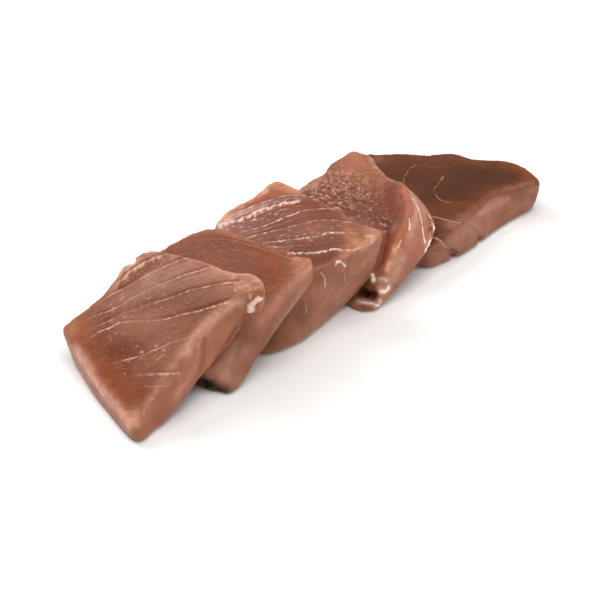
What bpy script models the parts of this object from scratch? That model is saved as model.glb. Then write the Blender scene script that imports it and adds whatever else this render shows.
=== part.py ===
"""Raw tuna loin cut across into five thick slices, which have slid over into a shingled row.

Sizes are in millimetres and are scaled to metres when a mesh is made.
The row runs along X. Each slice stands with its low front corner on the table
and its high end lies on the next slice along, up to the far slice, which lies flat.
"""
import bpy
import numpy as np

MM = 0.001

# Whole row
ROW_CENTRE = (12.2, 8.8)          # middle of the row's footprint, from the point the stations are measured from
MEAT_GAP = 0.9                    # clearance between a slice and the slices that it lies on
STEEPEST_SAG = 1.1                # rise over run that soft meat can follow when it lies over an edge
SAG_REACH = (1.5, 3.0, 5.0, 8.0)  # how far sideways an edge below holds the meat up

# Mesh
POINTS_ROUND = 72
FOOT_RINGS = 8
SIDE_RINGS = 2
FACE_RINGS = 5
EDGE_STEPS = 3

# Muscle
BAND_PITCH = 10.0                 # width of one muscle layer across the cut face
BAND_RELIEF = 0.45                # how far each layer swells above the seam beside it
UNEVEN_RELIEF = 0.35
CRAG_RELIEF = 0.55                # torn grain on the fourth slice
CRAG_PITCH = (11.0, 9.0)

# Slices, lowest first. A corner holds the top edge's x, y and the foot's x, y, from the slice's station.
# rise = height of the top face over the station; tilt = slope of the top face;
# droop, droop_over = how far its low end sinks under the slice above, and over what length
# foot_start, foot_tilt, foot_curl, foot_most = where the underside leaves the table, its slope,
# how that slope grows and where it levels out
# foot_hook = where the underside of the near slice's high front corner turns up, how fast, and how far back
SLICES = (
    dict(
        name="far_slice",
        station=(55.0, -27.0), rise=18.0, tilt=0.0, crown=0.6, droop=5.5, droop_over=15.0,
        foot_start=200.0, foot_tilt=0.0, foot_curl=0.0, foot_most=0.0, least_thick=9.0,
        top_round=1.8, foot_round=3.0, bulge=0.5, arc_centre=(-4, -18),
        colour=(0.20, 0.075, 0.045),
        corners=(
            (3, 4, 4, 4), (12, 0.3, 12, 1), (24, 1, 24, -0.6), (38, 4, 38, 0), (49.5, 6.5, 50, 1.3),
            (57, 6.1, 57, 1.5), (65, 3.2, 65, 1.5), (76, -0.8, 77, 1.5), (80.5, 4, 80.5, 6),
            (82, 13.5, 81, 14), (79, 23, 78, 22), (69.5, 34.6, 69, 34), (63.5, 46.3, 63, 45), (53, 54, 52, 53),
            (47, 61.5, 46, 60.5), (36, 70.5, 35, 69.5), (31, 74, 30, 72), (12, 71, 12, 69), (2, 40, 2, 40),
            (-1, 17, 0, 17),
        ),
    ),
    dict(
        name="fourth_slice",
        station=(21.0, -27.7), rise=11.2, tilt=25.0, crown=1.0, droop=4.2, droop_over=3.0,
        foot_start=2.0, foot_tilt=25.0, foot_curl=0.0, foot_most=18.4, least_thick=7.0,
        top_round=1.6, foot_round=2.5, bulge=0.3, arc_centre=(-8, -20),
        colour=(0.34, 0.13, 0.085),
        corners=(
            (-1, 3, -3.6, -0.4), (8, 1, 5, -1.8), (16, 3.4, 15.5, -1.6), (24, 7, 25.6, -0.7),
            (32, 12, 35.6, 1.7), (40, 17, 45, 7.3), (44, 23.5, 50.6, 17), (47, 30, 53.2, 26.5),
            (45.4, 37, 50, 37), (46.6, 46.3, 47.5, 46), (49.4, 56, 47, 55), (47, 65.8, 45, 64),
            (43.8, 66.8, 41, 65), (36.6, 69.4, 35, 68), (31, 68.2, 30, 67), (25.3, 71, 24, 69),
            (17.5, 73, 17, 70), (2, 72, 0, 70), (-5, 60, -6, 60), (-5, 36, -6, 36), (-6, 14, -7.5, 9),
        ),
    ),
    dict(
        name="middle_slice",
        station=(-45.0, -18.0), rise=28.0, tilt=11.0, crown=1.0, droop=0.0, droop_over=1.0,
        foot_start=55.0, foot_tilt=22.0, foot_curl=0.03, foot_most=40.0, least_thick=14.0,
        top_round=1.2, foot_round=4.0, bulge=0.5, arc_centre=(10, -27),
        colour=(0.33, 0.125, 0.08),
        corners=(
            (26, 0, 7, -0.5), (35, -3.2, 24, -5.2), (45, -6.2, 36, -4.2), (52, -7.3, 46, -2.6),
            (57, -9, 54, -2.2), (62, -10.2, 62, -2.5), (70.3, -8.4, 69, -4), (68.3, 0, 70, 4),
            (67.2, 8.6, 69, 12), (68.2, 18, 69, 25), (66.6, 25, 68, 30), (64.2, 35.5, 66, 37),
            (65, 41, 64.5, 42), (63.4, 52.6, 62.5, 51), (59.6, 55, 57, 53), (54, 54.5, 50, 54),
            (46.6, 54.4, 41, 54), (36, 56.3, 28, 55.5), (29, 55.2, 18, 54.5), (25.2, 52.6, 11, 53),
            (22, 42, 5, 42), (24, 20, 4, 20),
        ),
    ),
    dict(
        name="second_slice",
        station=(-64.0, -25.7), rise=23.5, tilt=28.0, crown=1.0, droop=0.0, droop_over=1.0,
        foot_start=6.0, foot_tilt=40.0, foot_curl=0.0, foot_most=40.0, least_thick=9.0,
        top_round=1.2, foot_round=2.5, bulge=0.3, arc_centre=(-10, -20),
        colour=(0.30, 0.115, 0.07),
        corners=(
            (-11, 13, -1, -1), (8, 12.5, 14, -0.3), (24, 4.8, 31, 0), (36.5, 1.1, 42, -0.8), (46.7, -0.8, 48, 0),
            (45.5, 6, 48, 7), (44.5, 16, 47, 17), (41, 25, 44.5, 26), (39.2, 37, 42.5, 37), (36, 49, 39.5, 48),
            (31.2, 55.6, 35, 54), (23.6, 60.8, 28, 58.5), (12, 65, 20, 61), (-4, 63.5, 6, 60),
            (-13, 50, -9, 50), (-14, 28, -10, 28), (-13.5, 16, -7.5, 11),
        ),
    ),
    dict(
        name="near_slice",
        station=(-111.0, -22.0), rise=9.0, tilt=33.0, crown=1.5, droop=0.0, droop_over=1.0,
        foot_start=14.0, foot_tilt=26.0, foot_curl=0.0, foot_most=42.0, least_thick=10.5,
        foot_hook=(51.0, 0.25, 10.0),
        top_round=1.4, foot_round=2.5, bulge=0.3, arc_centre=(1, -13),
        colour=(0.36, 0.14, 0.09),
        corners=(
            (-1, -0.4, -1.3, -0.4), (9, 0.3, 10, -1.4), (19, -2, 21, -0.8), (25, -1, 28, 0.2),
            (32.5, 2.3, 34, 1.4), (39, 2.2, 40, 1.8), (46.5, 3.3, 47, 1), (53.5, 0.8, 54, -1),
            (58.5, -3, 59, -4.5), (63.4, -8, 62.5, -8), (66.4, -4.5, 66.5, -5), (66.6, 2, 68, 2.5),
            (62.6, 12, 66.5, 12), (59.6, 28, 63.5, 28), (54.2, 47, 58, 46.5), (50, 54.8, 53.5, 53.5),
            (46.8, 57, 50, 55.5), (44.4, 56, 47.5, 55), (41, 59.2, 44.5, 57.5), (36.5, 58.2, 40, 57),
            (27, 58.5, 31, 57.5), (16, 62.3, 20, 60.5), (9.6, 63.2, 12, 61.2), (7, 53, 7.3, 53),
            (3.2, 28, 1.9, 28),
        ),
    ),
)

# Cleft that parts a small lobe from the far slice's front side
CLEFT_FOOT_X = 20.0
CLEFT_HEAD_X = 7.0
CLEFT_WIDTH = 3.0
CLEFT_DEPTH = 1.3


def closed_curve(corners, count):
    """Catmull-Rom curve through the corners, closed, at even steps of length along its first two columns."""
    p = np.array(corners, float)
    n, columns = p.shape
    t = np.linspace(0, n, n * 64, endpoint=False)
    i = t.astype(int)
    f = (t - i)[:, None]
    a, b, c, d = (p[(i + k) % n] for k in (-1, 0, 1, 2))
    q = 0.5 * (2 * b + (c - a) * f + (2 * a - 5 * b + 4 * c - d) * f**2 + (3 * b - a - 3 * c + d) * f**3)
    step = np.hypot(*(np.roll(q, -1, 0) - q)[:, :2].T)
    length = np.concatenate([[0], np.cumsum(step)])
    q = np.vstack([q, q[:1]])
    at = np.linspace(0, length[-1], count, endpoint=False)
    return np.stack([np.interp(at, length, q[:, k]) for k in range(columns)], 1)


def soften(ring, times):
    """Moving average round a closed ring, run several times."""
    for _ in range(times):
        ring = (np.roll(ring, 1, 0) + 2 * ring + np.roll(ring, -1, 0)) / 4
    return ring


def outward(ring):
    """Unit normals that point out of an anticlockwise ring, softened round its corners."""
    edge = np.roll(ring, -1, 0) - np.roll(ring, 1, 0)
    normal = np.stack([edge[:, 1], -edge[:, 0]], 1)
    normal = soften(normal / np.hypot(*normal.T)[:, None], max(2, len(ring) // 14))
    return normal / np.hypot(*normal.T)[:, None]


def shape_of(sizes):
    """The slice's two edge rings, their normals and centres, in plan."""
    curve = closed_curve(sizes["corners"], POINTS_ROUND)
    at = np.array(sizes["station"]) - ROW_CENTRE
    edge = curve[:, :2] + at
    foot = curve[:, 2:] + at
    centre = edge.mean(0)
    angle = np.arctan2(*(edge - centre).T[::-1])
    order = np.argsort(angle)
    angle = angle[order]
    reach = np.hypot(*(edge - centre).T)[order]
    return dict(
        sizes, at=at, edge=edge, foot=foot, edge_out=outward(edge), foot_out=outward(foot),
        centre=centre, foot_centre=foot.mean(0),
        angle=np.concatenate([angle - 2 * np.pi, angle, angle + 2 * np.pi]), reach=np.tile(reach, 3),
    )


def past_edge(s, xy):
    """Distance of plan points outside the top edge, negative inside, and their share of the way out to it."""
    d = xy - s["centre"]
    reach = np.interp(np.arctan2(d[:, 1], d[:, 0]), s["angle"], s["reach"])
    away = np.hypot(*d.T)
    return away - reach, np.clip(away / reach, 0, 1)


def top_plane(s, xy):
    """Height of the tilted cut plane, which droops towards the low end of a slice that is pressed down there."""
    along = xy[:, 0] - s["at"][0]
    sunk = s["droop"] * np.clip(1 - along / s["droop_over"], 0, 1.2) ** 1.5
    return s["rise"] + along * np.tan(np.radians(s["tilt"])) - sunk


def muscle(s, xy):
    """Relief of the cut face: curved muscle layers between sunken seams, and slow unevenness."""
    d = xy - s["at"] - s["arc_centre"]
    layer = np.hypot(*d.T) / BAND_PITCH
    swell = BAND_RELIEF * (np.abs(np.sin(np.pi * layer)) - 0.6)
    slow = UNEVEN_RELIEF * np.sin(d[:, 0] / 9.0 + 1.3) * np.cos(d[:, 1] / 11.0 - 0.4)
    if s["name"] == "fourth_slice":
        swell = CRAG_RELIEF * np.sin(d[:, 0] * 2 * np.pi / CRAG_PITCH[0] + d[:, 1] * 0.3) * np.sin(
            d[:, 1] * 2 * np.pi / CRAG_PITCH[1] - d[:, 0] * 0.2)
    return swell + slow


def top_height(s, xy, relief=True):
    """Height of the top face: cut plane, slight crown, and muscle relief that dies out at the edge."""
    _, share = past_edge(s, xy)
    z = top_plane(s, xy) + s["crown"] * (1 - share**2)
    if relief:
        z = z + muscle(s, xy) * (1 - share**6)
    return z


def cover(s, xy):
    """Highest that the slice stands over plan points, with its rounded edge, falling steeply past it."""
    out, share = past_edge(s, xy)
    r = s["top_round"]
    inside = np.clip(-out, 0, r)
    drop = np.where(out > 0, r + out * 2.5, r - np.sqrt(r**2 - (r - inside) ** 2))
    swell = (BAND_RELIEF + UNEVEN_RELIEF if s["name"] != "fourth_slice" else CRAG_RELIEF + UNEVEN_RELIEF)
    return top_plane(s, xy) + s["crown"] * (1 - share**2) + swell * 0.8 * (1 - share**6) - drop


def foot_height(s, xy, below):
    """Height of the underside: on the table, then sloping up, and draped over the slices below."""
    along = np.maximum(xy[:, 0] - s["at"][0] - s["foot_start"], 0)
    z = along * np.tan(np.radians(s["foot_tilt"])) + s["foot_curl"] * along**2
    if "foot_hook" in s:
        start, growth, back = s["foot_hook"]
        x, y = (xy - s["at"]).T
        z = z + growth * np.maximum(x - start, 0) ** 2 * np.clip((back - y) / 10, 0, 1)
    z = np.minimum(z, np.clip(top_plane(s, xy) - s["least_thick"], 0, s["foot_most"]))
    for under in below:
        z = np.maximum(z, cover(under, xy) + MEAT_GAP)
        for reach in SAG_REACH:
            for turn in np.arange(8) * np.pi / 4:
                beside = xy + reach * np.array([np.cos(turn), np.sin(turn)])
                z = np.maximum(z, cover(under, beside) + MEAT_GAP - reach * STEEPEST_SAG)
    return z


def cleft(s, xy, share_up):
    """Depth of the groove round the far slice's lobe, at plan points that share_up of the way up the side."""
    if s["name"] != "far_slice":
        return np.zeros(len(xy))
    along = xy[:, 0] - s["at"][0]
    line = CLEFT_FOOT_X + (CLEFT_HEAD_X - CLEFT_FOOT_X) * min(share_up / 0.85, 1.0)
    front = xy[:, 1] - s["at"][1] < 12
    return np.where(front, CLEFT_DEPTH * np.exp(-(((along - line) / CLEFT_WIDTH) ** 2)) * (share_up < 0.95), 0)


def rings_of(s, below):
    """Rings of points from the foot's middle out, up the side and in to the top's middle."""
    rings = []
    foot, edge = s["foot"], s["edge"]
    inner_foot = foot - s["foot_out"] * s["foot_round"]
    for k in np.linspace(0, 1, FOOT_RINGS + 1)[1:-1]:
        xy = s["foot_centre"] + (inner_foot - s["foot_centre"]) * k
        rings.append(np.column_stack([xy, foot_height(s, xy, below)]))
    rim = top_height(s, edge)
    for a in np.linspace(0, np.pi / 2, EDGE_STEPS):
        xy = foot - s["foot_out"] * (s["foot_round"] * (1 - np.sin(a)))
        z = foot_height(s, xy, below)
        z = np.maximum(z, soften(z, 4))
        lift = np.minimum(s["foot_round"], np.maximum(rim - z, 1) * 0.45) * (1 - np.cos(a))
        rings.append(np.column_stack([xy, z + lift]))
    low = rings[-1]
    soft = np.minimum(s["top_round"], (rim - low[:, 2]) * 0.5)
    high = np.column_stack([edge, rim - soft])
    for k in np.linspace(0, 1, SIDE_RINGS + 2)[1:-1]:
        side = low + (high - low) * k
        push = s["bulge"] * 4 * k * (1 - k) - cleft(s, side[:, :2], k)
        side[:, :2] += s["edge_out"] * push[:, None]
        rings.append(side)
    for a in np.linspace(0, np.pi / 2, EDGE_STEPS):
        xy = edge - s["edge_out"] * (s["top_round"] * (1 - np.cos(a)))
        rings.append(np.column_stack([xy, top_height(s, xy) - soft * (1 - np.sin(a))]))
    inner = edge - s["edge_out"] * s["top_round"]
    for k in np.linspace(1, 0, FACE_RINGS + 1)[1:-1]:
        xy = s["centre"] + (inner - s["centre"]) * k
        rings.append(np.column_stack([xy, top_height(s, xy)]))
    return rings


def make_slice(s, below):
    """Closed mesh of one slice, with its material."""
    rings = rings_of(s, below)
    first = s["foot_centre"][None]
    last = s["centre"][None]
    points = np.vstack(
        [np.column_stack([first, foot_height(s, first, below)])] + rings
        + [np.column_stack([last, top_height(s, last)])])
    n = POINTS_ROUND
    faces = []
    end = len(points) - 1
    for i in range(n):
        j = (i + 1) % n
        faces.append((0, 1 + j, 1 + i))
        for k in range(len(rings) - 1):
            a = 1 + k * n
            faces.append((a + i, a + j, a + n + j, a + n + i))
        a = 1 + (len(rings) - 1) * n
        faces.append((a + i, a + j, end))
    mesh = bpy.data.meshes.new(s["name"])
    mesh.from_pydata((points * MM).tolist(), [], faces)
    mesh.validate()
    mesh.update()
    obj = bpy.data.objects.new(s["name"], mesh)
    bpy.context.scene.collection.objects.link(obj)
    flesh = bpy.data.materials.new(s["name"] + "_flesh")
    flesh.use_nodes = True
    shader = flesh.node_tree.nodes["Principled BSDF"]
    shader.inputs["Base Color"].default_value = (*s["colour"], 1)
    shader.inputs["Roughness"].default_value = 0.42
    shader.inputs["Metallic"].default_value = 0.0
    mesh.materials.append(flesh)
    return obj


for old in list(bpy.data.objects):
    bpy.data.objects.remove(old, do_unlink=True)

laid = []
for sizes in SLICES:
    this = shape_of(sizes)
    make_slice(this, laid)
    laid.append(this)
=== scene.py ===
"""A raw tuna loin, cut across into five thick slices that have slid over into a shingled row.

The row runs along X, from the near slice, which leans on the rest, to the far slice, which lies flat.
Lengths are in millimetres until a mesh is made. A slice's points are measured from its station, and its
seams, dents and tones follow listed curves.
"""

import bpy
import numpy as np
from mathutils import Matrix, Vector


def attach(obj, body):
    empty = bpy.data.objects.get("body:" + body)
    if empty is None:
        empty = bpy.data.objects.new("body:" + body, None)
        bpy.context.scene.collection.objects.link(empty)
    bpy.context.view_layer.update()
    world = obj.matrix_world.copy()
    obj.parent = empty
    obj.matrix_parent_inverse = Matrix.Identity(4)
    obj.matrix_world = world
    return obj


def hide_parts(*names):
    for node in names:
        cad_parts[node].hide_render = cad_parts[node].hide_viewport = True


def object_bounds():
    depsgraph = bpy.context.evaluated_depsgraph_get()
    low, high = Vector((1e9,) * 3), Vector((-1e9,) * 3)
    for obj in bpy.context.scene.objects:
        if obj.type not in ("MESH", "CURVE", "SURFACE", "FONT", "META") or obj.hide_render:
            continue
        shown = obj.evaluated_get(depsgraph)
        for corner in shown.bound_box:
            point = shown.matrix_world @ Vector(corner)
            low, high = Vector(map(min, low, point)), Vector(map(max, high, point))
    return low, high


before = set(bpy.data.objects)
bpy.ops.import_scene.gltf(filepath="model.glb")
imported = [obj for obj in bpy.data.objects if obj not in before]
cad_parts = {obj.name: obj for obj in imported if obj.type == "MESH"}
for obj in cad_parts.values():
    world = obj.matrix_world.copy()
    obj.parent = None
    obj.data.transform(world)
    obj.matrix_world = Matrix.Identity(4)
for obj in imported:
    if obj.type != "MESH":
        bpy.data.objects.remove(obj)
solid_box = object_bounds()

# Far slice
# The end piece of the loin: a dark, flat wedge of raw tuna muscle, cut with a knife above and below.
# Its side is the loin's paler outside, and two small lobes of muscle have parted from it at the low corner.

MM = 0.001
ROW_CENTRE = (12.2, 8.8)          # middle of the row's footprint, measured as the stations are
MEAT_GAP = 0.3                    # clearance between a slice and the slices that it lies on
STEEPEST_SAG = 1.1                # rise over run that soft meat can follow when it lies over an edge
SAG_REACH = (1.5, 3.0, 5.0, 8.0)  # how far sideways an edge below holds the meat up
EDGE_FALL = 2.5                   # fall per mm past a slice's edge, for the meat that lies over it
FACE_SWELL = 0.5                  # how far swells can raise a cut face
HOOK_FADE = 10.0                  # width over which a hooked underside fades out
TOP_SHARE, FOOT_SHARE = 0.5, 0.45  # most of the side's height that its rounded edges take

NET_STEPS = 172                   # across the cut face, about 0.4 mm each
EDGE_STEPS = 8                    # over each rounded edge
SIDE_STEPS = 44                   # down the side
UNDER_STEPS = 14                  # from the foot's edge to its middle
OUTLINE_POINTS = 720
CORNER_STEPS = 64                 # points from one corner of an outline to the next, before even spacing
SMOOTHING = 4 * (OUTLINE_POINTS // 60) ** 2  # passes of the moving average, which blur over about 5 mm
UNDERSIDE = 5.0                   # added to the underside's distance from the rim

FAR = dict(
    name="far_slice",
    station=(55.0, -27.0), rise=18.0, tilt=0.0, crown=0.6, droop=5.5, droop_over=15.0,
    foot_start=200.0, foot_tilt=0.0, foot_curl=0.0, foot_most=0.0, least_thick=9.0,
    top_round=2.6, foot_round=3.0, bulge=0.5,
    corners=(
        (3, 4, 4, 4), (12, 0.3, 12, 1), (24, 1, 24, -0.6), (38, 4, 38, 0), (49.5, 6.5, 50, 1.3),
        (57, 6.1, 57, 1.5), (65, 3.2, 65, 1.5), (76, -0.8, 77, 1.5), (80.5, 4, 80.5, 6), (82, 13.5, 81, 14),
        (79, 23, 78, 22), (69.5, 34.6, 69, 34), (63.5, 46.3, 63, 45), (53, 54, 52, 53),
        (47, 61.5, 46, 60.5), (36, 70.5, 35, 69.5), (31, 74, 30, 72), (12, 71, 12, 69), (2, 40, 2, 40),
        (-1, 17, 0, 17),
    ),
    cleft=dict(foot_x=20.0, head_x=7.0, head_at=0.85, width=2.2, depth=1.6, fade=8.0, back=12.0),
)


def sample(ring, at):
    """Values round a closed ring at shares of the way round it."""
    x = at * len(ring)
    i = np.floor(x).astype(int)
    f = (x - i)[:, None]
    return ring[i % len(ring)] * (1 - f) + ring[(i + 1) % len(ring)] * f


def bend(a, b, c, d, f):
    """Catmull-Rom curve at share f of the way from b to c: it leaves b along c - a and ends along d - b."""
    return 0.5 * (2 * b + (c - a) * f + (2 * a - 5 * b + 4 * c - d) * f**2 + (3 * b - a - 3 * c + d) * f**3)


def closed_curve(corners, count):
    """Catmull-Rom curve through the corners, closed, at even steps of length along its first two columns."""
    p = np.array(corners, float)
    t = np.linspace(0, len(p), len(p) * CORNER_STEPS, endpoint=False)
    i = t.astype(int)
    q = bend(*(p[(i + k) % len(p)] for k in (-1, 0, 1, 2)), (t - i)[:, None])
    length = np.concatenate([[0], np.cumsum(np.hypot(*(np.roll(q, -1, 0) - q)[:, :2].T))])
    even = np.linspace(0, length[-1], count, endpoint=False)
    return sample(q, np.interp(even, length, np.arange(len(length)) / len(q)))


def open_curve(knots, steps=10):
    """Catmull-Rom curve through knots, with its ends kept."""
    p = np.array(knots, float)
    p = np.vstack([2 * p[0] - p[1], p, 2 * p[-1] - p[-2]])
    f = np.linspace(0, 1, steps, endpoint=False)[None, :, None]
    q = bend(*(p[k:len(p) - 3 + k, None] for k in range(4)), f)
    return np.vstack([q.reshape(-1, p.shape[1]), p[-2]])


def soften(ring, times):
    """Moving average round a closed ring, run several times."""
    for _ in range(times):
        ring = (np.roll(ring, 1, 0) + 2 * ring + np.roll(ring, -1, 0)) / 4
    return ring


def outward(ring):
    """Unit normals that point out of an anticlockwise ring, softened round its corners."""
    edge = np.roll(ring, -1, 0) - np.roll(ring, 1, 0)
    normal = np.stack([edge[:, 1], -edge[:, 0]], 1)
    normal = soften(normal / np.hypot(*normal.T)[:, None], SMOOTHING)
    return normal / np.hypot(*normal.T)[:, None]


def shape_of(sizes):
    """The slice's two edge rings, their normals and centres, in plan."""
    curve = closed_curve(sizes["corners"], OUTLINE_POINTS)
    at = np.array(sizes["station"]) - ROW_CENTRE
    edge, foot = curve[:, :2] + at, curve[:, 2:] + at
    centre = edge.mean(0)
    angle = np.arctan2(*(edge - centre).T[::-1])
    order = np.argsort(angle)
    angle = angle[order]
    reach = np.hypot(*(edge - centre).T)[order]
    return dict(
        sizes, at=at, edge=edge, foot=foot, edge_out=outward(edge), foot_out=outward(foot),
        centre=centre, foot_centre=foot.mean(0),
        angle=np.concatenate([angle - 2 * np.pi, angle, angle + 2 * np.pi]), reach=np.tile(reach, 3),
    )


def past_edge(s, xy):
    """Distance of plan points outside the top edge, negative inside, and their share of the way out to it."""
    d = xy - s["centre"]
    reach = np.interp(np.arctan2(d[:, 1], d[:, 0]), s["angle"], s["reach"])
    away = np.hypot(*d.T)
    return away - reach, np.clip(away / reach, 0, 1)


def cut_plane(s, xy):
    """Height of the tilted cut plane. Its low end droops, by the power 1.5 of the way down to it."""
    along = xy[:, 0] - s["at"][0]
    sunk = s["droop"] * np.clip(1 - along / s["droop_over"], 0, 1.2) ** 1.5
    return s["rise"] + along * np.tan(np.radians(s["tilt"])) - sunk


def face_height(s, xy):
    """Height of the cut face: its plane and a slight crown that falls with the square of the way out."""
    _, share = past_edge(s, xy)
    return cut_plane(s, xy) + s["crown"] * (1 - share**2)


def cover(s, xy):
    """Highest that the slice stands over plan points, with its rounded edge and the steep fall past it."""
    out, share = past_edge(s, xy)
    r = s["top_round"]
    inside = np.clip(-out, 0, r)
    drop = np.where(out > 0, r + out * EDGE_FALL, r - np.sqrt(r**2 - (r - inside) ** 2))
    return face_height(s, xy) + FACE_SWELL * (1 - share**6) - drop


def foot_height(s, xy, below):
    """Height of the underside: on the table, then sloping up, and draped over the slices below.

    An edge below holds the meat beside it up too, so the slices below are looked up in eight directions.
    """
    along = np.maximum(xy[:, 0] - s["at"][0] - s["foot_start"], 0)
    z = along * np.tan(np.radians(s["foot_tilt"])) + s["foot_curl"] * along**2
    if "foot_hook" in s:
        start, growth, back = s["foot_hook"]
        x, y = (xy - s["at"]).T
        z = z + growth * np.maximum(x - start, 0) ** 2 * np.clip((back - y) / HOOK_FADE, 0, 1)
    z = np.minimum(z, np.clip(cut_plane(s, xy) - s["least_thick"], 0, s["foot_most"]))
    for under in below:
        z = np.maximum(z, cover(under, xy) + MEAT_GAP)
        for reach in SAG_REACH:
            for turn in np.arange(8) * np.pi / 4:
                beside = xy + reach * np.array([np.cos(turn), np.sin(turn)])
                z = np.maximum(z, cover(under, beside) + MEAT_GAP - reach * STEEPEST_SAG)
    return z


def hump(x, place, wide):
    """Soft rise round a place: exp(-((x - place) / wide)^2)."""
    return np.exp(-(((x - place) / wide) ** 2))


def cleft(s, xy, share_up):
    """Depth of the groove round the far slice's lobe, at plan points a share of the way up the side.

    It is a soft rise turned inwards, round a line that leans from the foot to the head.
    """
    if "cleft" not in s:
        return np.zeros(len(xy))
    c = s["cleft"]
    along, across = (xy - s["at"]).T
    line = c["foot_x"] + (c["head_x"] - c["foot_x"]) * min(share_up / c["head_at"], 1.0)
    groove = c["depth"] * hump(along, line, c["width"]) * np.clip((1 - share_up) * c["fade"], 0, 1)
    return np.where(across < c["back"], groove, 0)


def disc_net(n):
    """Shares of the way out and round for a square net of n by n steps that is bent into a disc.

    u = x sqrt(1 - y^2 / 2) and v = y sqrt(1 - x^2 / 2) take the square to the disc with no pole in it. Shares
    round start at the net's first corner, 3/8 of a turn back from the x axis.
    """
    side = np.linspace(-1, 1, n + 1)
    x, y = np.meshgrid(side, side, indexing="ij")
    u, v = x * np.sqrt(1 - y**2 / 2), y * np.sqrt(1 - x**2 / 2)
    turn = (np.arctan2(v, u) / (2 * np.pi) + 3 / 8) % 1.0
    net = np.arange((n + 1) ** 2).reshape(n + 1, n + 1)
    rim = np.concatenate([net[:-1, 0], net[-1, :-1], net[:0:-1, -1], net[0, :0:-1]])
    return np.hypot(u, v).ravel(), turn.ravel(), net, rim


def skin(s, below):
    """Outside of a slice: a net over its cut face, and rings from the rim down the side and under the foot.

    Its edges are quarter circles, and its side bulges by 4 k (1 - k) at share k of the way up. Returns the
    points, the quads, the triangles at the foot's middle, and each point's distance in from the rim, which is
    negative down the side.
    """
    out, turn, net, rim = disc_net(NET_STEPS)
    face_edge = sample(s["edge"] - s["edge_out"] * s["top_round"], turn)
    xy = s["centre"] + (face_edge - s["centre"]) * out[:, None]
    quarter = s["top_round"] * np.pi / 4
    points = [np.column_stack([xy, face_height(s, xy)])]
    inward = [quarter + (1 - out) * np.hypot(*(face_edge - s["centre"]).T)]

    at = turn[rim]
    edge, edge_out = sample(s["edge"], at), sample(s["edge_out"], at)
    foot, foot_out = sample(s["foot"], at), sample(s["foot_out"], at)
    rim_z = face_height(s, edge)

    def foot_ring(a):
        ring_xy = foot - foot_out * (s["foot_round"] * (1 - np.sin(a)))
        z = foot_height(s, ring_xy, below)
        z = np.maximum(z, soften(z, SMOOTHING))
        lift = np.minimum(s["foot_round"], np.maximum(rim_z - z, 1) * FOOT_SHARE)
        return np.column_stack([ring_xy, z + lift * (1 - np.cos(a))])

    low = foot_ring(np.pi / 2)
    soft = np.minimum(s["top_round"], (rim_z - low[:, 2]) * TOP_SHARE)
    high = np.column_stack([edge, rim_z - soft])
    for a in np.linspace(np.pi / 2, 0, EDGE_STEPS + 1)[1:]:
        ring_xy = edge - edge_out * (s["top_round"] * (1 - np.cos(a)))
        points.append(np.column_stack([ring_xy, face_height(s, ring_xy) - soft * (1 - np.sin(a))]))
        inward.append(np.full(len(rim), s["top_round"] * a - quarter))
    for k in np.linspace(1, 0, SIDE_STEPS + 1)[1:-1]:
        side = low + (high - low) * k
        push = s["bulge"] * 4 * k * (1 - k) - cleft(s, side[:, :2], k)
        side[:, :2] += edge_out * push[:, None]
        points.append(side)
        inward.append(-quarter - np.linalg.norm(high - side, axis=1))
    drop = -quarter - np.linalg.norm(high - low, axis=1)
    for a in np.linspace(np.pi / 2, 0, EDGE_STEPS):
        points.append(foot_ring(a))
        inward.append(drop - s["foot_round"] * (np.pi / 2 - a))
    inner = foot - foot_out * s["foot_round"]
    raised = points[-1][:, 2] - foot_height(s, inner, below)
    for k in np.linspace(1, 0, UNDER_STEPS + 1)[1:-1]:
        ring_xy = s["foot_centre"] + (inner - s["foot_centre"]) * k
        points.append(np.column_stack([ring_xy, foot_height(s, ring_xy, below) + raised * k**6]))
        inward.append(drop - UNDERSIDE)
    middle = s["foot_centre"][None]
    points.append(np.column_stack([middle, foot_height(s, middle, below)]))
    inward.append(np.array([drop.min() - UNDERSIDE]))

    first = net.size
    rings = (len(points) - 2) * len(rim)
    ring = np.vstack([rim, first + np.arange(rings).reshape(-1, len(rim))])
    upper, lower = ring[:-1], ring[1:]
    quads = np.vstack([
        np.stack([net[:-1, :-1], net[1:, :-1], net[1:, 1:], net[:-1, 1:]], -1).reshape(-1, 4),
        np.stack([lower, np.roll(lower, -1, 1), np.roll(upper, -1, 1), upper], -1).reshape(-1, 4)])
    last = ring[-1]
    fan = np.stack([np.roll(last, -1), last, np.full(len(last), first + rings)], -1)
    return np.vstack(points), quads, fan, np.concatenate(inward)


LATTICE = 32
LATTICE_START = 90.0


def mottle(p, pitch, seed):
    """Smooth random field from -1 to 1, with blobs about pitch wide.

    It is a turned lattice of random values, eased from one to the next by f^2 (3 - 2 f).
    """
    random = np.random.default_rng(seed)
    lattice = random.uniform(-1, 1, (LATTICE, LATTICE, LATTICE))
    turned, _ = np.linalg.qr(random.normal(size=(3, 3)))
    q = p @ turned / pitch + LATTICE_START
    i = np.floor(q).astype(int)
    f = q - i
    f = f * f * (3 - 2 * f)
    total = np.zeros(len(p))
    for corner in np.ndindex(2, 2, 2):
        share = np.prod(np.where(corner, f, 1 - f), 1)
        total += share * lattice[tuple(((i + corner) % LATTICE).T)]
    return total


def patchy(p, pitch, seed, middle=0.5, swing=0.9):
    """Share from 0 to 1 in patches about pitch wide: middle plus swing times a random field, cut off."""
    return np.clip(middle + swing * mottle(p, pitch, seed), 0, 1)


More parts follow.
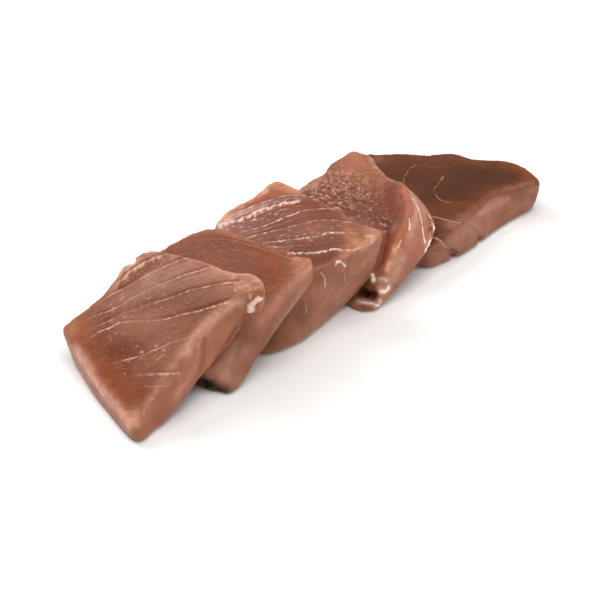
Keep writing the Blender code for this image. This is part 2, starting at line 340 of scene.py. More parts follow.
def from_line(p, line):
    """Distance of points from a line of short pieces, their side of it, and the line's last value there.

    The side is 1 on the left and -1 on the right.
    """
    k = p.shape[1]
    nearest, side, value = np.full(len(p), np.inf), np.ones(len(p)), np.zeros(len(p))
    for a, b in zip(line[:-1], line[1:]):
        ab = b[:k] - a[:k]
        away = p - a[:k]
        turn = ab[0] * away[:, 1] - ab[1] * away[:, 0]
        t = np.clip(away @ ab / (ab @ ab), 0, 1)
        away = away - t[:, None] * ab
        d = np.einsum("ij,ij->i", away, away)
        closer = d < nearest
        nearest = np.where(closer, d, nearest)
        side = np.where(closer, np.where(turn < 0, -1.0, 1.0), side)
        value = np.where(closer, a[-1] + t * (b[-1] - a[-1]), value)
    return np.sqrt(nearest), side, value


SEAM_FADE = 2.0         # a seam dies out over this length past its ends
SEAM_OVERSHOOT = 30.0   # and parts the layers for this length
USUAL_LAYER = 9.0       # thickness of a layer with a seam on one side only
FAR_OFF = 1e3


def layers_of(s, xy):
    """Muscle layers across the cut face.

    Returns the number of seams behind a point plus the share d1 / (d1 + d2) of the way to the next one, where
    d1 and d2 are its distances from the two. Then come the distance past the nearest seam, and that seam's
    strength and half width.
    """
    n = len(xy)
    if not s["seams"]:
        across = np.array([-s["grain_along"][1], s["grain_along"][0]])
        return xy @ across / USUAL_LAYER, np.full(n, FAR_OFF), np.zeros(n), np.ones(n)
    passed, behind, ahead = np.zeros(n), np.full(n, FAR_OFF), np.full(n, FAR_OFF)
    off, sheet, half = np.full(n, FAR_OFF), np.zeros(n), np.ones(n)
    for wide, knots in s["seams"]:
        line = open_curve(np.array(knots) + [*s["at"], 0.0], 5)
        for end, inner in ((0, 1), (-1, -2)):
            tip, way = line[end, :2], line[end, :2] - line[inner, :2]
            way = way / np.hypot(*way)
            beyond = [np.append(tip + way * d, 0.0) for d in (SEAM_FADE, SEAM_OVERSHOOT)]
            line = np.vstack([line, beyond]) if end else np.vstack([beyond[::-1], line])
        d, side, strength = from_line(xy, line)
        passed += side > 0
        behind = np.where(side > 0, np.minimum(behind, d), behind)
        ahead = np.where(side > 0, ahead, np.minimum(ahead, d))
        closer = d < np.abs(off)
        off = np.where(closer, side * d, off)
        sheet = np.where(closer, strength, sheet)
        half = np.where(closer, wide, half)
    share = np.where(passed == 0, 1 - ahead / USUAL_LAYER, behind / np.where(
        passed == len(s["seams"]), USUAL_LAYER, behind + ahead))
    return passed + share, off, sheet, half


def near_to(s, p, on_face, reach, knots):
    """Share exp(-(d / reach)^2) at distance d from a curve through knots, given from the slice's station.

    Knots of two numbers lie on the cut face and act only there; knots of three act in the round.
    """
    k = len(knots[0])
    line = np.array(knots, float) + np.append(s["at"], 0.0)[:k]
    line = open_curve(line, 5) if len(line) > 1 else np.vstack([line, line + 0.01])
    q = p[:, :k]
    close = np.all((q > line.min(0) - 3 * reach) & (q < line.max(0) + 3 * reach), 1)
    share = np.zeros(len(p))
    share[close] = hump(from_line(q[close], line)[0], 0, reach)
    return share * on_face if k == 2 else share


def bars(p, u, v, pitch, long):
    """Torn flesh, from 0 in the gaps to 1 on the bars: a random field, steep and long along the grain."""
    q = np.column_stack([u, v / long, p[:, 2]]) + 0.25 * pitch * mottle(p, pitch * 1.9, 31)[:, None]
    return patchy(q, pitch, 33, swing=1.1)


LIP = (-0.35, 0.5)      # distance past a seam's middle, and half width
GROOVE = (0.9, 0.6)
EDGE_BAND = 2.2         # half width of the rough band along the cut edge


def relief(s, p, inward, on_face, layer, off, sheet, u, v):
    """How far the flesh stands out from its plain shape.

    Each muscle layer rises to a lip along its outer seam and drops to a groove past it, and fine ridges run
    along the grain. Slow swells, small lumps and a rough cut edge are random fields. Dents and frays lie
    along curves.
    """
    r = s["relief"]
    face = np.clip(inward / 3.0 + 0.4, 0, 1)
    step = np.round(layer) - 1 / (1 + np.exp(np.clip(off / 0.2, -30, 30)))
    h = face * r["layer"] * (layer - step - 0.5) * np.clip(sheet * 1.5 + 0.3, 0, 1)
    h += face * r["lip"] * sheet * (hump(off, *LIP) - 0.8 * hump(off, *GROOVE))
    along = np.column_stack([u, v * 0.12, 0 * u])
    h += face * r["streaks"] * (mottle(along, 1.5, 19) + 0.8 * mottle(along, 4.0, 20))
    h += r["slow"] * mottle(p, 13.0, 5) + r["lumps"] * mottle(p, 4.2, 7)
    h += r["grain"] * mottle(p, 1.3, 11)
    h += r["edge"] * hump(inward, 0, EDGE_BAND) * (mottle(p, 2.6, 13) + 0.5 * mottle(p, 1.2, 14))
    for deep, wide, knots in s["dents"]:
        h -= deep * near_to(s, p, on_face, wide, knots)
    for high, pitch, long, reach, knots in s["frays"]:
        h += high * near_to(s, p, on_face, reach, knots) * (bars(p, u, v, pitch, long) - 0.5)
    return h


def linear(hex_colour):
    """An sRGB hex colour as linear red, green, blue and alpha."""
    c = np.array([int(hex_colour[i:i + 2], 16) for i in (1, 3, 5)]) / 255
    c = np.where(c <= 0.04045, c / 12.92, ((c + 0.055) / 1.055) ** 2.4)
    return (*c.tolist(), 1.0)


def toward(tint, hex_colour, share):
    """Colours moved a share of the way to another colour."""
    return tint + np.reshape(share, (-1, 1)) * (np.array(linear(hex_colour)[:3]) - tint)


def paint(s, p, inward, on_face, layer, u, v):
    """Colour of the flesh at each point.

    Two tones mix on the cut face and two on the outside. Every layer and every streak of the grain
    has its own depth of tone, the thin rim is paler with a painted glow of light through it, and washes of
    other tones, some of them painted shade, highlights and glow, lie along curves. Frays paint their bars
    lighter and their gaps darker, as painted light and shade, with painted glints on the crests.
    """
    tones = s["tones"]
    blank = np.zeros((len(p), 3))
    face = toward(toward(blank, tones["face"], 1.0), tones["face_shade"], patchy(p, 13.0, 21))
    side = toward(toward(blank, tones["side"], 1.0), tones["side_shade"], patchy(p, 6.0, 22))
    tint = side + on_face[:, None] * (face - side)
    along = np.column_stack([u, v * 0.1, 0 * u])
    streak = 0.05 * mottle(along, 1.6, 24) + 0.05 * mottle(along, 4.5, 25)
    streak += 0.05 * np.sin(7.3 * np.floor(layer))
    tint = tint * (1 + streak * (0.1 + 0.9 * on_face))[:, None]
    # Painted glow: the thin rim takes the rim tone, as if lit through.
    glow_tone, glow_strength, glow_width = tones["rim"]
    share = glow_strength * hump(inward, 0.5, glow_width) * patchy(p, 5.0, 26, 0.75, 0.7)
    tint = toward(tint, glow_tone, share)
    for tone, strength, reach, knots in s["washes"]:
        share = near_to(s, p, on_face, reach, knots) * patchy(p, max(2.0, reach * 0.7), 27, 0.85, 0.45)
        tint = toward(tint, tone, strength * share)
    for high, pitch, long, reach, knots in s["frays"]:
        share = np.clip(1.4 * near_to(s, p, on_face, reach, knots), 0, 1)
        bar = bars(p, u, v, pitch, long)
        # Painted light and shade: the bars are lightened and the gaps darkened, and the crests take the torn
        # tone as painted glints.
        tint = tint * (1 + share * high * (1.3 * bar - 0.65))[:, None]
        tint = toward(tint, tones["torn"], share * high * 1.3 * np.clip(bar * 2.5 - 1.6, 0, 1))
    return np.clip(tint, 0, 1)


def strokes(s, p, on_face, lines):
    """Strength from 0 to 1 of thin pale lines, broken by a random field."""
    total = np.zeros(len(p))
    for strength, wide, knots in lines:
        total = np.maximum(total, strength * near_to(s, p, on_face, wide, knots))
    return total * patchy(p, 1.8, 17, 0.9, 0.6)


GRAIN_SHIFT = 60.0      # so that no two slices have the same grain


def lay_slice(sizes, below, flesh):
    """Makes a slice's mesh with its attributes, gives it its flesh and sets it in place of its solid."""
    s = shape_of(sizes)
    p, quads, fan, inward = skin(s, below)
    mesh = bpy.data.meshes.new(s["name"] + "_flesh")
    mesh.vertices.add(len(p))
    mesh.loops.add(quads.size + fan.size)
    mesh.polygons.add(len(quads) + len(fan))
    mesh.loops.foreach_set("vertex_index", np.concatenate([quads.ravel(), fan.ravel()]).astype(np.int32))
    starts = np.concatenate([np.arange(len(quads)) * 4, quads.size + np.arange(len(fan)) * 3])
    mesh.polygons.foreach_set("loop_start", starts.astype(np.int32))
    mesh.vertices.foreach_set("co", (p * MM).astype(np.float32).ravel())
    mesh.update(calc_edges=True)
    normal = np.empty(len(p) * 3, np.float32)
    mesh.vertex_normals.foreach_get("vector", normal)
    normal = normal.reshape(-1, 3).astype(float)

    layer, off, sheet, half = layers_of(s, p[:, :2])
    u = layer * USUAL_LAYER + GRAIN_SHIFT * len(below)
    v = p[:, :2] @ np.array(s["grain_along"])
    on_face = np.clip((inward + 0.2 + 0.6 * mottle(p, 3.5, 23)) / 2.0 + 0.5, 0, 1)
    tint = paint(s, p, inward, on_face, layer, u, v)
    pale = strokes(s, p, on_face, s["pale"])
    specks = strokes(s, p, on_face, s["specks"])
    p = p + normal * relief(s, p, inward, on_face, layer, off, sheet, u, v)[:, None]
    low, high = (np.array(c) / MM for c in solid_box)
    p = np.clip(p, low, high)
    mesh.vertices.foreach_set("co", (p * MM).astype(np.float32).ravel())
    for name, values in dict(off_seam=off, sheet=sheet, half_seam=half, across_grain=u, along_grain=v,
                             inward=inward, pale=pale, specks=specks).items():
        mesh.attributes.new(name, "FLOAT", "POINT").data.foreach_set("value", values.astype(np.float32))
    rgba = np.column_stack([tint, np.ones(len(p))]).astype(np.float32)
    mesh.attributes.new("tint", "FLOAT_COLOR", "POINT").data.foreach_set("color", rgba.ravel())
    mesh.polygons.foreach_set("use_smooth", np.ones(len(quads) + len(fan), bool))
    mesh.update()
    mesh.validate()
    obj = bpy.data.objects.new(s["name"] + "_flesh", mesh)
    bpy.context.scene.collection.objects.link(obj)
    mesh.materials.append(flesh)
    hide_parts(s["name"])
    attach(obj, "root")
    return s


def add(tree, kind, links=(), **settings):
    """Adds a node, with its settings and with values or other nodes' outputs put into its inputs."""
    made = tree.nodes.new(kind)
    for name, value in settings.items():
        setattr(made, name, value)
    for socket, value in dict(links).items():
        if isinstance(value, bpy.types.NodeSocket):
            tree.links.new(value, made.inputs[socket])
        else:
            made.inputs[socket].default_value = value
    return made


STREAK = 0.9            # bundles of muscle fibre, which run on as fine streaks
FIBRE = 0.8             # single fibres, drawn as fine as the picture can show
SEAM_WANDER = 1.1       # how far a sheet wavers from its curve
GROOVE_SHADE_OFF = 0.45       # from a sheet's edge to the middle of the painted shade in the groove beside it


def wet_flesh(name, seam, groove, sinew, sheen=0.35, depth=1.0, faint=0.12):
    """Raw tuna muscle, freshly cut: moist and slightly see-through, so light spreads in it.

    Fine streaks and grain darken and lighten its tone, and pale sheets of connective tissue part its layers,
    with painted shade in the groove beside them, and a film of water gives small bright glints, which are
    also painted in. The sheets show in dashes, partly painted glints, and between these only faintly.
    """
    made = bpy.data.materials.new(name)
    made.use_nodes = True
    tree = made.node_tree
    shader = tree.nodes["Principled BSDF"]
    where = add(tree, "ShaderNodeTexCoord").outputs["Object"]
    tint = add(tree, "ShaderNodeAttribute", attribute_name="tint").outputs["Color"]
    read = {k: add(tree, "ShaderNodeAttribute", attribute_name=k).outputs["Fac"] for k in (
        "off_seam", "sheet", "half_seam", "across_grain", "along_grain", "inward", "pale", "specks")}

    def noise(size, detail=2.0, roughness=0.5, at=None):
        return add(tree, "ShaderNodeTexNoise", {
            "Vector": where if at is None else at, "Scale": (1000 if at is None else 1) / size,
            "Detail": detail, "Roughness": roughness}).outputs["Fac"]

    def ramp(value, low, high, start=0.0, end=1.0):
        return add(tree, "ShaderNodeMapRange", {
            0: value, 1: low, 2: high, 3: start, 4: end}, interpolation_type="SMOOTHSTEP").outputs[0]

    def maths(operation, a, b=0.0):
        return add(tree, "ShaderNodeMath", {0: a, 1: b}, operation=operation).outputs[0]

    def times(*values):
        total = values[0]
        for value in values[1:]:
            total = maths("MULTIPLY", total, value)
        return total

    def blend(share, a, b, kind="MIX"):
        return add(
            tree, "ShaderNodeMix", {0: share, 6: a, 7: b}, data_type="RGBA", blend_type=kind).outputs[2]

    def grain(across, along):
        return add(tree, "ShaderNodeCombineXYZ", {0: across, 1: along}).outputs[0]

    across, along = read["across_grain"], read["along_grain"]
    streaks = noise(STREAK, 3.0, 0.6, grain(across, times(along, 0.2)))
    fibres = noise(FIBRE, 2.0, 0.6)
    dashes = noise(2.2, 1.0, 0.5, grain(times(across, 0.6), along))
    glint_noise = noise(1.1, 1.0, 0.5, grain(across, times(along, 0.35)))
    face = ramp(read["inward"], -1.0, 1.0)

    tone = times(
        ramp(streaks, 0.3, 0.7, 1 - 0.11 * depth, 1 + 0.10 * depth),
        ramp(fibres, 0.3, 0.7, 1 - 0.10 * depth, 1.09))
    grey = add(tree, "ShaderNodeCombineColor", {0: tone, 1: tone, 2: tone}).outputs[0]
    body = blend(maths("ADD", times(face, 0.5), 0.5), tint, blend(1.0, tint, grey, "MULTIPLY"))
    off = maths("ADD", read["off_seam"], times(maths("SUBTRACT", noise(2.2, 4.0, 0.65), 0.5), SEAM_WANDER))
    # Painted shade: the groove beside each sheet is darkened towards the groove tone.
    past = maths("SUBTRACT", off, maths("ADD", read["half_seam"], GROOVE_SHADE_OFF))
    past = ramp(maths("ABSOLUTE", past), 0.75, 0.1)
    body = blend(times(past, read["sheet"], face, 0.5), body, linear(groove))
    # The seam tone paints the pale sheet, and its brightest dashes are painted glints.
    broken = ramp(dashes, 0.40, 0.60, faint, 1.0)
    wide = times(read["half_seam"], maths("ADD", times(broken, 0.9), 0.45))
    line = ramp(maths("DIVIDE", maths("ABSOLUTE", off), wide), 1.3, 0.3)
    body = blend(times(line, read["sheet"], face, broken), body, linear(seam))
    # Painted glints: small bright flecks in the seam tone.
    speck = times(ramp(glint_noise, 0.59, 0.68), read["specks"])
    body = blend(times(speck, 0.8), body, linear(seam))
    body = blend(ramp(read["pale"], 0.15, 0.75), body, linear(sinew))
    tree.links.new(body, shader.inputs["Base Color"])

    # The surface is duller and shinier in patches a few millimetres wide. The film of water on it is the
    # coat, with water's IOR, and light spreads furthest in it in the red.
    tree.links.new(ramp(noise(3.0, 3.0), 0.35, 0.65, 0.40, 0.56), shader.inputs["Roughness"])
    height = maths("ADD", maths("ADD", times(streaks, 0.6), times(fibres, 0.35)), times(speck, 0.8))
    bump = add(tree, "ShaderNodeBump", {"Height": height, "Distance": 0.3 * MM, "Strength": 0.6})
    tree.links.new(bump.outputs[0], shader.inputs["Normal"])
    tree.links.new(bump.outputs[0], shader.inputs["Coat Normal"])
    shader.inputs["IOR"].default_value = 1.34
    shader.inputs["Specular IOR Level"].default_value = 0.1 + 0.5 * sheen
    shader.inputs["Subsurface Weight"].default_value = 0.35
    shader.inputs["Subsurface Radius"].default_value = (1.0, 0.3, 0.16)
    shader.inputs["Subsurface Scale"].default_value = 1.6 * MM
    shader.inputs["Coat Weight"].default_value = sheen
    shader.inputs["Coat Roughness"].default_value = 0.14
    shader.inputs["Coat IOR"].default_value = 1.33
    return made


# A seam gives its half width and its knots, whose third number is its strength. A wash of colour gives its
# tone, strength, reach and knots, a dent its depth, reach and knots, and a fray its height, pitch, length of
# bars, reach and knots. Painted glints and pale lines give their strength, reach and knots. A slice's rim
# tone is a painted glow of light through its thin edge, and its torn tone paints glints on torn flesh. The
# groove tone is painted shade beside each seam, and the seam tone's brightest dashes are painted glints.

FAR.update(
    grain_along=(0.74, -0.67),
    relief=dict(layer=0.0, lip=0.0, streaks=0.03, slow=0.35, lumps=0.12, grain=0.03, edge=0.2),
    seams=(),
    tones=dict(face="#5F3826", face_shade="#53301F", side="#9F6D59", side_shade="#8E5C47", torn="#DCB09A",
               rim=("#7A4A33", 0.4, 2.2)),
    washes=(
        # painted glow of light through the thin back edge
        ("#75412B", 0.75, 5, ((34.8, 67.2), (42.9, 61.2), (50.2, 50.9), (59.4, 42.6), (69, 30))),
        ("#8F6350", 0.7, 3.5, ((27, 68.5), (32, 66.5))),
        # the tip, with a painted orange glow of light through its thin end
        ("#8A4A26", 0.8, 4.6, ((78, 22), (79, 11.5), (77.8, 6.5))),
        # the front edge of the cut face, first with painted shadow cast by the fourth slice, then the side
        # below it
        ("#763F28", 0.75, 5, ((22, 18), (27.7, 15.7), (36.1, 10.5), (46.4, 7.6), (58, 7))),
        ("#96624B", 0.75, 3.2, ((28, 5), (33, 4), (41.8, 5), (51.2, 6), (63.9, 4.2), (73.5, 1.5))),
        ("#9A644C", 0.9, 3.6, ((20.5, 4.5), (23.5, 1.5), (29, 2))),
        ("#A97661", 0.6, 4, ((21.3, 0.6, 13.5), (30.2, 1.7, 12.2), (38, 1.8, 10.3))),
        ("#BE8C76", 0.6, 1.6, ((40, 4.4, 14.6), (42.5, 4.6, 14.2), (54.6, 5, 13.4), (60, 4.4, 13.6))),
        ("#8A5039", 0.6, 2.4, ((27.9, -0.5, 2.6), (45, 1.1, 2.6), (60.1, 1.8, 2.8), (72, 0.6, 4.5))),
        # the left lobe
        ("#9C6250", 0.8, 4, ((4.9, 2.5, 7.3), (8.8, 1.5, 3.4), (14.6, 0.7, 4.4))),
    ),
    dents=(
        # the grooves round the two lobes, then the notches at their feet
        (0.7, 0.9, ((9.4, 3.1, 15.8), (10.4, 1, 15.6), (13.4, 0.5, 10.7), (17.4, 0.3, 6.2),
            (18.9, -0.2, 3))),
        (0.6, 0.9, ((29.2, 1.6, 14.4), (31.9, 0.8, 11.4), (35.2, 0.5, 7), (37.6, 0.2, 2.4))),
        (-0.3, 2.6, ((24, 0.2, 11), (29, 0.2, 7))),
        (1.7, 1.5, ((18.4, 0, 4.4), (19.4, -0.2, 1.8), (19.8, 1.2, 0.2))),
        (1.2, 1.3, ((36.8, 0.1, 3.8), (37.6, 0.1, 1.6), (38, 1.4, 0.2))),
        (0.3, 1, ((10, 21), (17.8, 16), (20.3, 11.8), (22.7, 7.7), (25.8, 2.1))),
    ),
    frays=(), specks=(),
    pale=(
        (0.75, 0.7, ((8.4, 4.1, 16.3), (9.5, 1.3, 16.3), (12.5, 0.6, 11.6), (15.4, 0.6, 8.3))),
        (0.35, 0.5, ((16.4, 0.6, 7.1), (18.3, -0.1, 4.9))),
        (0.3, 0.7, ((30.2, 1.2, 12.6), (32.8, 0.8, 10.2), (34.9, 0.6, 7.6))),
        (0.45, 0.55, ((27.6, 43), (30, 45.6), (33.1, 47.2), (37.6, 49), (42.3, 49.5))),
        (0.25, 0.6, ((42.3, 49.5), (45.5, 44.3), (51, 38), (54.7, 30.1), (56.6, 23.8))),
        (0.6, 0.6, ((44.7, 33.3), (39.5, 31.1), (34.2, 29.2), (32.4, 27.8))),
        (0.5, 0.6, ((31.6, 26), (30.1, 22), (30.9, 18.1), (34.7, 13.8))),
        (0.3, 0.6, ((42.8, 19.5), (45.7, 14.9), (51.4, 11.1), (57.8, 7.7), (65.4, 4.2))),
        (0.7, 0.65, ((18.3, 14.5), (20.4, 10.7), (22.2, 7.1), (24.7, 3))),
    ),
)
far = lay_slice(FAR, [], wet_flesh(
    "raw_tuna_far_slice", seam="#B08060", groove="#3F0707", sinew="#BF8E76", sheen=0.15, depth=0.5))

# Fourth slice
# The roughest slice: its cut face is torn across the grain, and its outer flank is a smooth band of muscle
# that ends in a frayed sheet of connective tissue.

FOURTH = dict(
    name="fourth_slice",
    station=(21.0, -27.7), rise=11.2, tilt=25.0, crown=1.0, droop=4.2, droop_over=3.0,
    foot_start=2.0, foot_tilt=25.0, foot_curl=0.0, foot_most=18.4, least_thick=7.0,
    top_round=1.6, foot_round=2.5, bulge=0.3,
    corners=(
        (-1, 3, -3.6, -0.4), (8, 1, 5, -1.8), (16, 3.4, 15.5, -1.6), (24, 7, 25.6, -0.7),
        (32, 12, 35.6, 1.7), (40, 17, 45, 7.3), (44, 23.5, 50.6, 17), (47, 30, 53.2, 26.5),
        (45.4, 37, 50, 37), (46.6, 46.3, 47.5, 46), (49.4, 56, 47, 55), (47, 65.8, 45, 64),
        (43.8, 66.8, 41, 65), (36.6, 69.4, 35, 68), (31, 68.2, 30, 67), (25.3, 71, 24, 69),
        (17.5, 73, 17, 70), (2, 72, 0, 70), (-5, 60, -6, 60), (-5, 36, -6, 36), (-6, 14, -7.5, 9),
    ),
    grain_along=(0.1, -0.995),
    relief=dict(layer=0.0, lip=0.0, streaks=0.04, slow=0.45, lumps=0.15, grain=0.08, edge=0.25),
    seams=(),
    tones=dict(face="#935D47", face_shade="#824932", side="#B07560", side_shade="#9C634E", torn="#CA9783",
               rim=("#A97151", 0.35, 1.6)),
    washes=(
        ("#B97656", 0.75, 6, ((44.3, 62.8), (45, 57), (39, 59))),
        ("#A26544", 0.6, 6, ((44.1, 52.8), (40.1, 45.6), (41.8, 38.2))),
        ("#683625", 0.8, 6.5, ((24.4, 42.9), (26.5, 33.7), (25.4, 23.7))),
        ("#742E14", 0.9, 6, ((41, 31), (37, 25), (31, 21))),
        ("#D1A08A", 0.6, 2.2, ((17, 71), (19.4, 70.4), (22.7, 67.7), (27.9, 67.6))),
        ("#C08C72", 0.65, 1.5, ((46.6, 65.4), (48.6, 57), (46.2, 47), (45, 38), (46.2, 32))),
        ("#CC9A85", 0.7, 1.8, ((47.4, 29, 31.5), (48.4, 25, 29.6), (46.6, 20, 28.2))),
        ("#BB7159", 0.85, 2.8, ((43.5, 27), (41.3, 22.5), (38, 17), (34, 13.6))),
        # painted shade in the recess beside the ridge, then the ridge, with a painted orange glow of light
        # through its thin edge and a painted highlight along its crest
        ("#712B07", 0.95, 3.2, ((21.6, 16.4, 22.4), (17.4, 13, 20.2), (13.5, 10.2, 18.1), (9, 7.4, 15.6))),
        ("#AE653E", 0.9, 2.2, ((30.6, 11.6, 24.6), (25.2, 10.2, 23.2), (21, 8.8, 21.2))),
        ("#D89E78", 0.85, 2.2, ((19.5, 7.3, 20.2), (15.2, 4.9, 18.3), (10.4, 3.5, 16))),
        ("#CF9A84", 0.85, 1.8, ((44.6, 21.9, 29.2), (42.9, 17.3, 27.9), (38.2, 13.4, 26.2),
            (33.3, 10.8, 24), (29.9, 8.8, 22.3))),
        # the flank
        ("#C08C79", 0.85, 3.4, ((50.6, 24, 25.6), (48.4, 17.5, 25.6), (45.5, 14, 25.2))),
        ("#B4806F", 0.7, 2.6, ((43.7, 12.6, 24.8), (38.7, 8.6, 22.6))),
        ("#804C38", 0.9, 1.9, ((45.2, 9.8, 22.6), (41.6, 6.8, 22), (38.5, 4.2, 20.4))),
        ("#9A5E4A", 0.6, 3.6, ((31, 4, 17.5), (24, 1.6, 13.6), (18, 0.2, 10))),
        ("#BD9179", 0.8, 2.6, ((19.5, 3.4, 16.8), (15.8, 1.7, 14.6), (12, 0.4, 12))),
        # folds of connective tissue over the slot
        ("#D9BEA8", 0.95, 1.6, ((3.4, 0.2, 8.6), (5.4, -0.8, 8.2), (7.6, -0.8, 8.9))),
        ("#B78C75", 0.8, 1.8, ((8.6, -0.8, 9.2), (10.6, -0.4, 10.4))),
        ("#D5B6A2", 0.9, 1.3, ((4.3, 7.2, 13.5), (3.1, 4.2, 12.4))),
        ("#CDA993", 0.8, 1.4, ((5.2, 2.3, 13.4), (8, 0.7, 12.3))),
        ("#A45331", 0.7, 1.6, ((7.4, 4.9, 14.8), (9.5, 5.6, 15.6))),
        # painted shade in the slot, then the lip under it
        ("#070301", 0.98, 1.9, ((-1.6, 8.4, 6.2), (-0.8, 6.6, 6.6), (-0.8, 4.4, 6))),
        ("#4A1B07", 0.9, 1.7, ((0.6, 2.8, 7.6), (1.2, 0.8, 7.4), (0.4, 2, 5.4))),
        ("#E3CBB5", 0.95, 1.1, ((-4.4, 6.4, 2.8), (-3, 3.8, 3.4), (-1.8, 1.2, 3.8), (-0.4, -1, 3.4),
            (1.2, -1.6, 2.6), (2, -1.3, 4.6))),
        ("#773715", 0.8, 1.1, ((-5, 3.6, 1.7), (-3.6, 0.8, 1.7), (-2, -0.6, 1.5))),
    ),
    dents=(
        # the recess, the ridge and the slot
        (1.5, 3, ((21.6, 17.6), (15.4, 12.6), (11.3, 9.6), (7.2, 7))),
        (-0.7, 1.6, ((42, 25.5), (38.4, 19.6), (33.7, 15.5), (28, 12.6), (22.5, 10), (17, 7.2))),
        (2.2, 1.7, ((-1.4, 7.6, 6.2), (-0.4, 4.4, 6.2), (0.8, 2.2, 6.8))),
        # the folds and the lip
        (-1, 1.2, ((4.3, 7.2, 13.5), (3.1, 4.6, 12.6))), (-0.9, 1.2, ((5.2, 2.3, 13.4), (6.4, 1.6, 13))),
        (-0.9, 1.2, ((4, 0, 8.6), (6.6, -0.7, 8.9))),
        (-0.7, 0.9, ((-3.4, 4.6, 3.3), (-1.8, 1.2, 3.8), (0.6, -1.4, 3))),
        (0.7, 0.9, ((10.9, -1, 8.9), (12, -0.6, 6))),
        (0.5, 0.9, ((45, 16, 26.6), (42, 12, 24.9), (38, 7.6, 22.4), (34.3, 3.2, 19))),
    ),
    frays=(
        # the torn face, then its rim and the ragged edge of the flank
        (0.4, 0.8, 2.6, 6.5, ((17.5, 66), (21.8, 60.3), (23, 55), (22, 47))),
        (0.28, 0.75, 1.8, 7, ((29, 65), (32, 57), (32, 50))),
        (0.16, 0.8, 1.5, 9, ((24.5, 38), (31, 40), (37.5, 45))),
        (0.45, 1.2, 1.2, 1.8, ((26.4, 22.1), (26.2, 18.6), (24.3, 18.6))),
        (0.3, 1.5, 1.2, 1.6, ((47.6, 60), (48.8, 56), (46.6, 47), (45.2, 38), (46.4, 31))),
        (0.5, 1.1, 1.2, 2, ((45, 10.4, 23), (44.6, 8, 21.8), (41, 4.6, 20.2), (35, 1.2, 17.6))),
    ),
    specks=(
        (0.9, 8, ((21.8, 62.3), (22, 50), (32, 58))), (0.6, 8, ((33, 45), (27, 32))),
        (0.9, 2, ((26.4, 24), (25.6, 20.5))),
    ),
    pale=(
        # the first line is a painted highlight along the ridge's crest
        (0.7, 0.45, ((44.9, 21.9, 28.9), (42.8, 16.4, 27.2), (40.3, 11.9, 25.1), (36.6, 6.7, 21.8),
            (34.3, 2.9, 18.8))),
        (0.95, 0.8, ((46.4, 12.4, 23.8), (45.8, 9.8, 22.6), (44.2, 7.4, 21.4), (41.5, 5, 20.3))),
        (0.9, 0.7, ((37.5, 2.6, 18.8), (35, 1.4, 17.8), (33.1, 0.9, 17), (32, 0.6, 15.8))),
        (0.75, 0.6, ((34.2, 13.7, 26.4), (32.9, 11.8, 24.6), (31.4, 10.6, 23.6))),
        (0.9, 1.1, ((4.3, 7.2, 13.5), (3.1, 4.4, 12.6))),
        (0.95, 1.1, ((3.4, 0.2, 8.6), (5.4, -0.8, 8.2), (7.4, -0.8, 8.9))),
        (0.6, 0.8, ((5.2, 2.3, 13.4), (7.4, 1, 12.6))),
        (0.85, 0.8, ((-4.4, 6.4, 2.8), (-3, 3.8, 3.4), (-1.8, 1.2, 3.8), (-0.4, -1, 3.4),
            (1.2, -1.6, 2.6))),
        (0.5, 0.5, ((24.1, 8.6, 22.5), (20.5, 6.8, 20.8))),
        (0.55, 0.5, ((48.2, 29.6, 33), (50.4, 26.6, 30.4), (51.2, 23, 28))),
    ),
)
fourth = lay_slice(FOURTH, [far], wet_flesh(
    "raw_tuna_fourth_slice", seam="#E0B7A3", groove="#621507", sinew="#FFE6D2", sheen=0.16))

# Middle slice
# The boldest grain of the row: layers of muscle curve across its cut face, and the pale sheets of
# connective tissue between them stand up and catch the light.

